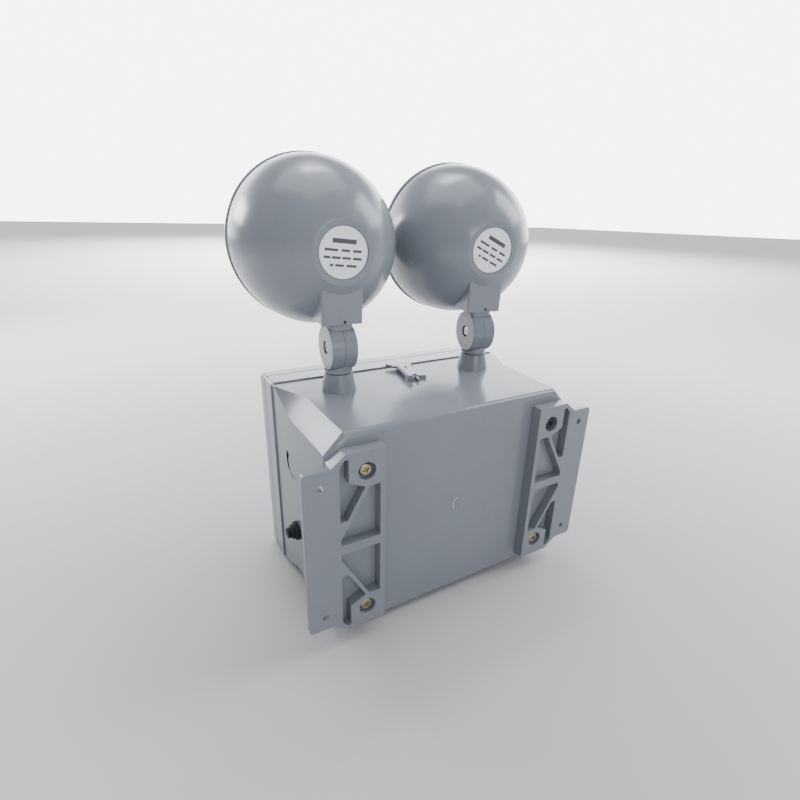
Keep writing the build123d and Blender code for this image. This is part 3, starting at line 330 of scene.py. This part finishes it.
def plated_steel(name, colour, roughness, cloud=0.12):
    """Plated steel: cloudy colour, fine scratches and a slightly uneven sheen."""
    material, tree, shader, place = blank_surface(name)
    shader.inputs["Metallic"].default_value = 1.0
    bloom = cloudy(tree, place, 240.0, 5.0).outputs["Fac"]
    darker = [c * (1 - cloud) for c in colour]
    lighter = [min(c * (1 + cloud), 1) for c in colour]
    tree.links.new(two_tones(tree, bloom, darker, lighter, 0.3, 0.72), shader.inputs["Base Color"])
    tree.links.new(stretched(tree, bloom, roughness - 0.08, roughness + 0.12), shader.inputs["Roughness"])
    drawn_out = tree.nodes.new("ShaderNodeMapping")
    drawn_out.inputs["Scale"].default_value = (1.0, 7.0, 1.0)
    drawn_out.inputs["Rotation"].default_value = (0.0, 0.0, 0.6)
    tree.links.new(place, drawn_out.inputs["Vector"])
    scratches = cloudy(tree, drawn_out.outputs["Vector"], 900.0, 2.0).outputs["Fac"]
    tree.links.new(raised(tree, scratches, 0.12, 0.0001), shader.inputs["Normal"])
    return material


yellow_zinc = plated_steel("yellow_zinc", (0.40, 0.35, 0.21), 0.36)
bright_zinc = plated_steel("bright_zinc", (0.62, 0.63, 0.64), 0.34)
black_steel = plated_steel("black_steel", (0.045, 0.045, 0.05), 0.45)
for node, steel, slot in (("right_bracket_screws", yellow_zinc, "yellow_zinc"),
                          ("left_lower_bracket_screw", yellow_zinc, "yellow_zinc"),
                          ("left_upper_bracket_screw", black_steel, "dark_steel"),
                          ("cover_screws", bright_zinc, "zinc_steel")):
    finished(f"{node}_worn", softened(node, 0.00012), steel, "base", slot, node)
for node in ("strap_screws", "board_screws", "clip_screw"):
    nodes[node].material_slots[0].material = bright_zinc


# Front cover: a shallow tray moulded from the same grey plastic, whose skirt ends at the box's front edge.
# It closes the box against a gasket of black sponge and is held by four screws.

cover_grey = moulded_plastic("cover_grey", (0.195, 0.212, 0.24), 0.21, gloss=0.4)
finished("cover", softened("front_cover", 0.0005), cover_grey, "base", "grey_plastic", "front_cover")


def soft_rubber(name, colour, roughness, gloss=0.35):
    """Rubber or sponge: nearly black, dusty in patches and finely pitted."""
    material, tree, shader, place = blank_surface(name)
    shader.inputs["Specular IOR Level"].default_value = gloss
    shader.inputs["Roughness"].default_value = roughness
    dusty = cloudy(tree, place, 55.0, 6.0).outputs["Fac"]
    dust = [c * 2.2 + 0.01 for c in colour]
    tree.links.new(two_tones(tree, dusty, colour, dust, 0.35, 0.8), shader.inputs["Base Color"])
    pits = tree.nodes.new("ShaderNodeTexVoronoi")
    pits.inputs["Scale"].default_value = 1800.0
    tree.links.new(place, pits.inputs["Vector"])
    tree.links.new(raised(tree, pits.outputs["Distance"], 0.2, 0.0002), shader.inputs["Normal"])
    return material


black_rubber = soft_rubber("black_rubber", (0.018, 0.018, 0.02), 0.72)
nodes["cover_gasket"].material_slots[0].material = black_rubber


# Side openings: the small conduit entry of the box is closed by a stepped plug of soft black rubber. Beside
# it is a knock-out. At the upper end of its groove, a black crescent of painted shade stands in for the
# shadow deep in the groove.

finished("side_plug", softened("conduit_plug", 0.0005), black_rubber, "base", "black_rubber", "conduit_plug")

# The painted shade is a black crescent in the slightly slanted side, widest next to its blunt upper end.
knockout_middle = (0.12599, -0.0865, 0.0365)
side_slant = radians(1.814)
groove_radius = 0.0158
shade_start = radians(154)
shade_sweep = radians(72)
shade_steps = 12
shade_wide = 0.0060
shade_narrow = 0.0016
shade_blunt = 0.0036
shade_depth = -0.0012
shade_proud = 0.0002
# Painted shade: a matt black without any sheen, darker than any lit rubber.
shade_black = soft_rubber("shade_black", (0.004, 0.004, 0.005), 0.95, gloss=0.0)
shade_crescent = bmesh.new()
corners = [shade_crescent.verts.new((level, r * cos(shade_start), r * sin(shade_start)))
           for r, level in ((groove_radius, shade_depth), (groove_radius - shade_wide, shade_depth),
                            (groove_radius - shade_wide, shade_proud), (groove_radius, shade_proud))]
outline = [shade_crescent.edges.new(pair) for pair in zip(corners, corners[1:] + corners[:1])]
bmesh.ops.spin(shade_crescent, geom=corners + outline, cent=(0, 0, 0), axis=(1, 0, 0), angle=shade_sweep,
               steps=shade_steps)
bmesh.ops.holes_fill(shade_crescent, edges=[edge for edge in shade_crescent.edges if edge.is_boundary], sides=0)
for point in shade_crescent.verts:
    if point.co.yz.length < groove_radius - shade_narrow:
        turn = atan2(point.co.z, point.co.y) % (2 * pi)
        share = (turn - shade_start) / shade_sweep
        gap = shade_wide - (shade_wide - shade_narrow) * share if share > 0.5 / shade_steps else shade_blunt
        point.co.yz = ((groove_radius - gap) * cos(turn), (groove_radius - gap) * sin(turn))
bmesh.ops.recalc_face_normals(shade_crescent, faces=shade_crescent.faces)
bmesh.ops.transform(shade_crescent, matrix=Matrix.Translation(knockout_middle) @ Matrix.Rotation(side_slant, 4, "Z"),
                    verts=shade_crescent.verts)
finished("groove_painted_shade", shade_crescent, shade_black, "base", "black_rubber")


# Clip: a stiff forked tongue of the box's own plastic that lies on its top face, next to the flange.
# It is moulded apart from the box and held by one screw.

finished("top_tongue", softened("top_clip", 0.0003), box_grey, "base", "grey_plastic", "top_clip")


# Swivels: on each side a grey stem turns in its collar on a black washer, and ends in half a knuckle. The
# other half carries the lamp head. A screw and nut clamp the halves, and a large nut holds the stem inside.

for side in ("right", "left"):
    finished(f"{side}_lower_knuckle", softened(f"{side}_swivel_stem", 0.0004), box_grey, f"{side}_swivel",
             "grey_plastic", f"{side}_swivel_stem")
    finished(f"{side}_upper_knuckle", softened(f"{side}_head_knuckle", 0.0004), box_grey, f"{side}_head",
             "grey_plastic", f"{side}_head_knuckle")
    finished(f"{side}_knuckle_screw", softened(f"{side}_pivot_screw", 0.00012), bright_zinc, f"{side}_swivel",
             "zinc_steel", f"{side}_pivot_screw")
    nodes[f"{side}_swivel_seal"].material_slots[0].material = black_rubber
    for node in (f"{side}_swivel_nut", f"{side}_pivot_nut"):
        nodes[node].material_slots[0].material = bright_zinc
    nodes[f"{side}_neck_screw"].material_slots[0].material = black_steel


# Bowls: each lamp head is a glossy grey moulding, a deep dome with a flat round seat at its pole. A square
# block runs from the dome down to the knuckle, and a tiny dark screw behind it holds the two together.

head_grey = moulded_plastic("head_grey", (0.205, 0.223, 0.255), 0.22, grain=0.03)

# Each head's zero is at its knuckle, turned by the pan and tilt that it has at rest.
knuckle_y = -0.099
knuckle_z = 0.133993
head_place = {}
for side, across, pan, tilt in (("right", 0.0754, -3.0, -2.7), ("left", -0.0754, -8.5, -3.3)):
    head_place[side] = (Matrix.Translation((across, knuckle_y, knuckle_z))
                        @ Matrix.Rotation(radians(pan), 4, "Z") @ Matrix.Rotation(radians(tilt), 4, "X"))

# The lamp's axis lies this far above the knuckle, and its rim this far in front.
lamp_rise = 0.0807
rim_ahead = 0.0836


def turned(profile, steps, place, closed=True):
    """Spin a profile of (radius, depth behind the rim) about the lamp's axis."""
    mesh = bmesh.new()
    ring = [mesh.verts.new((r, d, 0)) for r, d in profile]
    edges = [mesh.edges.new(pair) for pair in zip(ring, ring[1:])]
    if closed:
        edges.append(mesh.edges.new((ring[-1], ring[0])))
    bmesh.ops.spin(mesh, geom=ring + edges, cent=(0, 0, 0), axis=(0, 1, 0), angle=2 * pi, steps=steps,
                   use_merge=True)
    bmesh.ops.remove_doubles(mesh, verts=mesh.verts, dist=1e-6)
    bmesh.ops.recalc_face_normals(mesh, faces=mesh.faces)
    bmesh.ops.transform(mesh, matrix=place @ Matrix.Translation((0, -rim_ahead, lamp_rise)), verts=mesh.verts)
    smooth_but_sharp(mesh, radians(40))
    return mesh


def dome_line(radius, start, end, stop_radius, count):
    """Points of the squarish dome from its rim to the radius where its seat cuts it."""
    power = 2.15
    stop = (1 - (stop_radius / radius) ** power) ** (1 / power)
    line = []
    for step in range(count + 1):
        share = stop * sin(radians(90 * step / count))
        line.append((radius * (1 - share**power) ** (1 / power), start + (end - start) * share))
    return line


def neck_block(place):
    """Square block under the bowl, with rounded upright edges and a small round hole for its screw."""
    size = Vector((0.036, 0.0275, 0.030))
    middle = Vector((0, -0.00125, 0.037))
    bottom = middle.z - size.z / 2
    hole_place = (-0.002, 0.0125, 0.0244)
    hole_radius = 0.00135
    hole_depth = 0.0030
    mesh = bmesh.new()
    bmesh.ops.create_cube(mesh, size=1.0)
    bmesh.ops.transform(mesh, matrix=Matrix.Diagonal((*size, 1)), verts=mesh.verts)
    bmesh.ops.translate(mesh, verts=mesh.verts, vec=middle)
    upright = [e for e in mesh.edges if abs(e.verts[0].co.z - e.verts[1].co.z) > size.z / 2]
    bmesh.ops.bevel(mesh, geom=upright, offset=0.0016, offset_type="OFFSET", affect="EDGES", segments=4,
                    profile=0.5, material=-1)
    lower = [e for e in mesh.edges if all(v.co.z < bottom + 0.001 for v in e.verts)]
    bmesh.ops.bevel(mesh, geom=lower, offset=0.0006, offset_type="OFFSET", affect="EDGES", segments=3,
                    profile=0.5, material=-1)
    rear = max(mesh.faces, key=lambda face: face.calc_center_median().y)
    rim = list(rear.edges)
    bmesh.ops.delete(mesh, geom=[rear], context="FACES_ONLY")
    hole = bmesh.ops.create_circle(mesh, cap_ends=False, segments=20, radius=hole_radius)["verts"]
    bmesh.ops.transform(mesh, matrix=Matrix.Translation(hole_place) @ Matrix.Rotation(radians(90), 4, "X"),
                        verts=hole)
    hole_rim = [e for e in mesh.edges if e.verts[0] in hole and e.verts[1] in hole]
    bmesh.ops.triangle_fill(mesh, edges=rim + hole_rim, use_beauty=True)
    deeper = bmesh.ops.extrude_edge_only(mesh, edges=hole_rim)["geom"]
    floor_verts = [item for item in deeper if isinstance(item, bmesh.types.BMVert)]
    bmesh.ops.translate(mesh, verts=floor_verts, vec=(0, -hole_depth, 0))
    bmesh.ops.recalc_face_normals(mesh, faces=mesh.faces)
    bmesh.ops.transform(mesh, matrix=place, verts=mesh.verts)
    smooth_but_sharp(mesh, radians(40))
    return mesh


dome_foot = 0.0075
seat_depth = 0.0989
inner_pole = 0.0973
outer = dome_line(radius=0.0741, start=dome_foot, end=0.1045, stop_radius=0.0256, count=40)
seat = [(0.0252, 0.0999), (0.0213, 0.0999), (0.0210, 0.0998), (0.0209, 0.0996), (0.0209, 0.0991),
        (0.0208, seat_depth), (0.0, seat_depth)]
inner = dome_line(radius=0.0715, start=dome_foot, end=inner_pole, stop_radius=0.004, count=24)
wall = outer + seat + [(0.0, inner_pole)] + list(reversed(inner))
for side in ("right", "left"):
    finished(f"{side}_bowl", turned(wall, 128, head_place[side]), head_grey, f"{side}_head",
             "grey_head_plastic", f"{side}_head_shell")
    finished(f"{side}_neck_block", neck_block(head_place[side]), head_grey, f"{side}_head",
             "grey_head_plastic")


# Paper discs: a round white sticker in the seat of each bowl, with rows of plain dark bars in place of
# print. The one on the left head was stuck on a little turned.


def printed_paper(name, colour, roughness):
    """Coated paper: nearly even colour, with fibres that show faintly in its colour and surface."""
    material, tree, shader, place = blank_surface(name)
    shader.inputs["Roughness"].default_value = roughness
    fibres = cloudy(tree, place, 700.0, 4.0).outputs["Fac"]
    darker = [c * 0.93 for c in colour]
    tree.links.new(two_tones(tree, fibres, darker, colour), shader.inputs["Base Color"])
    tree.links.new(raised(tree, fibres, 0.06, 0.0001), shader.inputs["Normal"])
    return material


white_paper = printed_paper("white_paper", (0.93, 0.93, 0.97), 0.4)
dark_ink = printed_paper("dark_ink", (0.07, 0.07, 0.08), 0.5)
disc_radius = 0.0201
disc_thick = 0.0004
ink_thick = 0.00004
ink_level = 0.00041

# Each row has its height above the middle, the bars' thickness, and each bar's middle and width.
rows = ((0.0088, 0.0036, ((0.0, 0.0200),)),
        (0.0018, 0.0020, ((-0.0105, 0.0110), (0.0014, 0.0070), (0.0112, 0.0075))),
        (-0.0040, 0.0020, ((-0.0135, 0.0055), (-0.0060, 0.0073), (0.0027, 0.0070), (0.0117, 0.0073))),
        (-0.0098, 0.0020, ((-0.0095, 0.0028), (-0.0028, 0.0073), (0.0073, 0.0085))))
for side, turn in (("right", -5), ("left", -26)):
    lay = (head_place[side] @ Matrix.Translation((0, seat_depth - rim_ahead, lamp_rise))
           @ Matrix.Rotation(radians(turn), 4, "Y") @ Matrix.Rotation(radians(-90), 4, "X"))
    disc = bmesh.new()
    bmesh.ops.create_cone(disc, cap_ends=True, segments=96, radius1=disc_radius, radius2=disc_radius,
                          depth=disc_thick)
    rims = [e for e in disc.edges if e.calc_face_angle(0) > radians(60)]
    bmesh.ops.bevel(disc, geom=rims, offset=0.0001, offset_type="OFFSET", affect="EDGES", segments=2,
                    profile=0.5, material=-1)
    bmesh.ops.transform(disc, matrix=lay @ Matrix.Translation((0, 0, disc_thick / 2)), verts=disc.verts)
    finished(f"{side}_paper_disc", disc, white_paper, f"{side}_head", "white_paper", f"{side}_label")
    bars = bmesh.new()
    for rise, thick, words in rows:
        for middle, width in words:
            word = bmesh.ops.create_cube(bars, size=1.0)["verts"]
            bmesh.ops.transform(bars, matrix=Matrix.Translation((-middle, -rise, ink_level))
                                @ Matrix.Diagonal((width, thick, ink_thick, 1)), verts=word)
    bmesh.ops.transform(bars, matrix=lay, verts=bars.verts)
    finished(f"{side}_print_bars", bars, dark_ink, f"{side}_head", "white_paper")


# Fronts: a grey ring clamps a clear ribbed lens over a bright reflector, against a thin black gasket. The
# reflector carries a black socket with a small clear lamp.

clear_lens, lens_tree, lens_shader, lens_place = blank_surface("clear_lens")
lens_shader.inputs["Base Color"].default_value = (0.95, 0.97, 0.98, 1)
lens_shader.inputs["Transmission Weight"].default_value = 1.0
lens_shader.inputs["IOR"].default_value = 1.49
flutes = lens_tree.nodes.new("ShaderNodeTexWave")
flutes.wave_type = "BANDS"
flutes.bands_direction = "X"
flutes.wave_profile = "SIN"
flutes.inputs["Scale"].default_value = 60.0
lens_tree.links.new(lens_place, flutes.inputs["Vector"])
lens_tree.links.new(raised(lens_tree, flutes.outputs["Fac"], 0.35, 0.0006), lens_shader.inputs["Normal"])
haze = cloudy(lens_tree, lens_place, 90.0, 5.0).outputs["Fac"]
lens_tree.links.new(stretched(lens_tree, haze, 0.02, 0.12), lens_shader.inputs["Roughness"])

lamp_glass = clear_lens.copy()
lamp_glass.name = "lamp_glass"
lamp_glass.node_tree.nodes["Bump"].inputs["Strength"].default_value = 0.02
black_plastic = moulded_plastic("black_plastic", (0.022, 0.022, 0.025), 0.42, streaks=0.15)
bright_coat = plated_steel("bright_coat", (0.86, 0.87, 0.88), 0.14, cloud=0.03)
tungsten = plated_steel("tungsten", (0.35, 0.33, 0.30), 0.4)

# Profiles of the turned pieces, each point a radius and a depth behind the front of the ring.
ring = [(0.0749, 0.0063), (0.0753, 0.0058), (0.0753, 0.0028), (0.0751, 0.0018), (0.0745, 0.0009),
        (0.0733, 0.0003), (0.0718, 0.0), (0.0703, 0.0), (0.0650, 0.0009), (0.0625, 0.0014), (0.0621, 0.002),
        (0.0621, 0.0037), (0.06915, 0.0037), (0.06915, 0.0063)]

lens_radius = 0.0601
lens_thick = 0.00245
edge_front = 0.00375
lens_dome = 0.0030
crown = [(lens_radius * sin(radians(a)), edge_front - lens_dome * cos(radians(a)) ** 1.5)
         for a in range(0, 90, 9)]
front = crown + [(lens_radius, edge_front), (0.0691, edge_front)]
back = [(0.0691, 0.0062), (lens_radius, 0.0062)] + [(r, d + lens_thick) for r, d in reversed(crown)]

mirror_hole = 0.009
mirror_reach = 0.053
mirror_neck = 0.0539
mirror_depth = 0.046
mirror_steps = 20
mirror_wall = 0.0012
mirror_end = 0.0551
shares = [step / mirror_steps for step in range(mirror_steps + 1)]
mirror = [(mirror_hole + mirror_reach * share**0.62, mirror_neck - mirror_depth * share) for share in shares]
skirt = [(0.0708, 0.0079), (0.0708, 0.0091)]
behind = [(r + mirror_wall, min(d + mirror_wall, mirror_end)) for r, d in reversed(mirror)]

envelope = [(0.0, 0.0349), (0.0022, 0.0352), (0.0040, 0.0366), (0.0052, 0.0388), (0.0055, 0.0410),
            (0.0052, 0.0434), (0.0043, 0.0458), (0.0040, 0.0474), (0.0040, 0.0508), (0.0, 0.0508)]
filament = [(0.0006, 0.0400), (0.0008, 0.0403), (0.0008, 0.0420), (0.0006, 0.0423)]

for side in ("right", "left"):
    place = head_place[side]
    finished(f"{side}_rim", turned(ring, 128, place), head_grey, f"{side}_head", "grey_head_plastic",
             f"{side}_bezel")
    nodes[f"{side}_head_gasket"].material_slots[0].material = black_rubber
    finished(f"{side}_clear_front", turned(front + back, 96, place), clear_lens, f"{side}_head",
             "clear_plastic", f"{side}_lens")
    finished(f"{side}_mirror_bowl", turned(mirror + skirt + behind, 128, place), bright_coat, f"{side}_head",
             "reflector_coat", f"{side}_reflector")
    finished(f"{side}_socket", softened(f"{side}_lamp_socket", 0.0002), black_plastic, f"{side}_head",
             "black_plastic", f"{side}_lamp_socket")
    finished(f"{side}_lamp", turned(envelope, 48, place, closed=False), lamp_glass, f"{side}_head",
             "bulb_glass", f"{side}_bulb")
    finished(f"{side}_filament", turned(filament, 16, place), tungsten, f"{side}_head", "bulb_glass")


# Test switch: a red push button in a black switch body, held through the cover by a thin nut, beside a
# small red indicator.

button_red = moulded_plastic("button_red", (0.42, 0.03, 0.025), 0.3, streaks=0.08)
indicator_red = moulded_plastic("indicator_red", (0.55, 0.05, 0.03), 0.15, streaks=0.05)
indicator_red.node_tree.nodes["Principled BSDF"].inputs["Transmission Weight"].default_value = 0.35
finished("red_button", softened("test_button", 0.0002), button_red, "button", "button_plastic",
         "test_button")
finished("thin_nut", softened("switch_nut", 0.0002), bright_zinc, "base", "zinc_steel", "switch_nut")
finished("indicator_dome", softened("indicator_lens", 0.0002), indicator_red, "base", "indicator_plastic",
         "indicator_lens")
finished("switch_case", softened("switch_body", 0.0002), black_plastic, "base", "black_plastic",
         "switch_body")


# Inside the box: a sealed battery under a folded steel strap, the charger board on its posts, and the
# transformer.

battery_grey = moulded_plastic("battery_grey", (0.03, 0.032, 0.036), 0.5, grain=0.2, streaks=0.12)
finished("sealed_battery", softened("battery", 0.0005), battery_grey, "base", "battery_plastic", "battery")
nodes["battery_strap"].material_slots[0].material = bright_zinc

board_green = moulded_plastic("board_green", (0.02, 0.13, 0.05), 0.3, streaks=0.1)
board_tree = board_green.node_tree
tracks = board_tree.nodes.new("ShaderNodeTexBrick")
tracks.inputs["Scale"].default_value = 180.0
tracks.inputs["Color1"].default_value = (0.018, 0.12, 0.045, 1)
tracks.inputs["Color2"].default_value = (0.025, 0.16, 0.06, 1)
tracks.inputs["Mortar"].default_value = (0.07, 0.26, 0.10, 1)
tracks.inputs["Mortar Size"].default_value = 0.03
turn_tracks = board_tree.nodes.new("ShaderNodeMapping")
turn_tracks.inputs["Rotation"].default_value = (radians(90), 0, 0)
board_tree.links.new(board_tree.nodes["Texture Coordinate"].outputs["Object"], turn_tracks.inputs["Vector"])
board_tree.links.new(turn_tracks.outputs["Vector"], tracks.inputs["Vector"])
board_tree.links.new(tracks.outputs["Color"], board_tree.nodes["Principled BSDF"].inputs["Base Color"])
finished("charger", softened("charger_board", 0.0002), board_green, "base", "board_laminate",
         "charger_board")

core_steel = plated_steel("core_steel", (0.16, 0.155, 0.15), 0.5)
core_tree = core_steel.node_tree
plates = core_tree.nodes.new("ShaderNodeTexWave")
plates.bands_direction = "Y"
plates.inputs["Scale"].default_value = 500.0
core_tree.links.new(core_tree.nodes["Texture Coordinate"].outputs["Object"], plates.inputs["Vector"])
core_tree.links.new(plates.outputs["Fac"], core_tree.nodes["Bump"].inputs["Height"])
finished("wound_core", softened("transformer", 0.0003), core_steel, "base", "core_steel", "transformer")
